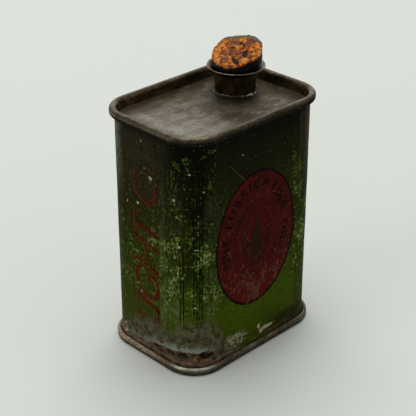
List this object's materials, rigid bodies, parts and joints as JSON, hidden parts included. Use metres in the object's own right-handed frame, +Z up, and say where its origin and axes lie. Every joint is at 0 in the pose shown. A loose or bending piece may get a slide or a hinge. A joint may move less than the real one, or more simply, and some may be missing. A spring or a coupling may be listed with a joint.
{
  "type": "cork-stoppered oil tin",
  "caption": "Small rectangular tinplate oil can with round corners, rolled rims, a flared neck soldered into its sunk top, and a cork that pulls out.",
  "frame": {"origin": "middle of the base, on the surface that the can stands on", "axes": "+Z up, +Y from the front face with the oval towards the back face, +X along the width, towards the neck"},
  "size_m": [0.0656, 0.0472, 0.103],
  "materials": {
    "printed_tinplate": "worn dark green printed lacquer on tinplate, with a dark red oval and side lettering, scuffed to bare metal at the foot",
    "aged_tinplate": "bare tinplate, tarnished brown-grey, with a soft worn sheen",
    "solder": "dull grey soft solder with a few bright spots",
    "cork": "broken cork, orange-tan and pitted on top, black with oil down its side"
  },
  "bodies": {
    "can": {"body_shell": "printed_tinplate", "side_seam_solder": "solder", "top_end": "aged_tinplate", "bottom_end": "aged_tinplate", "top_seam_solder": "solder", "bottom_seam_solder": "solder", "neck": "aged_tinplate", "neck_solder": "solder"},
    "cork": {"cork_stopper": "cork"}
  },
  "joints": [
    {"name": "cork_pull", "type": "slide", "parent": "can", "child": "cork", "axis": [0, 0, 1], "range_m": [0, 0.02]}
  ]
}
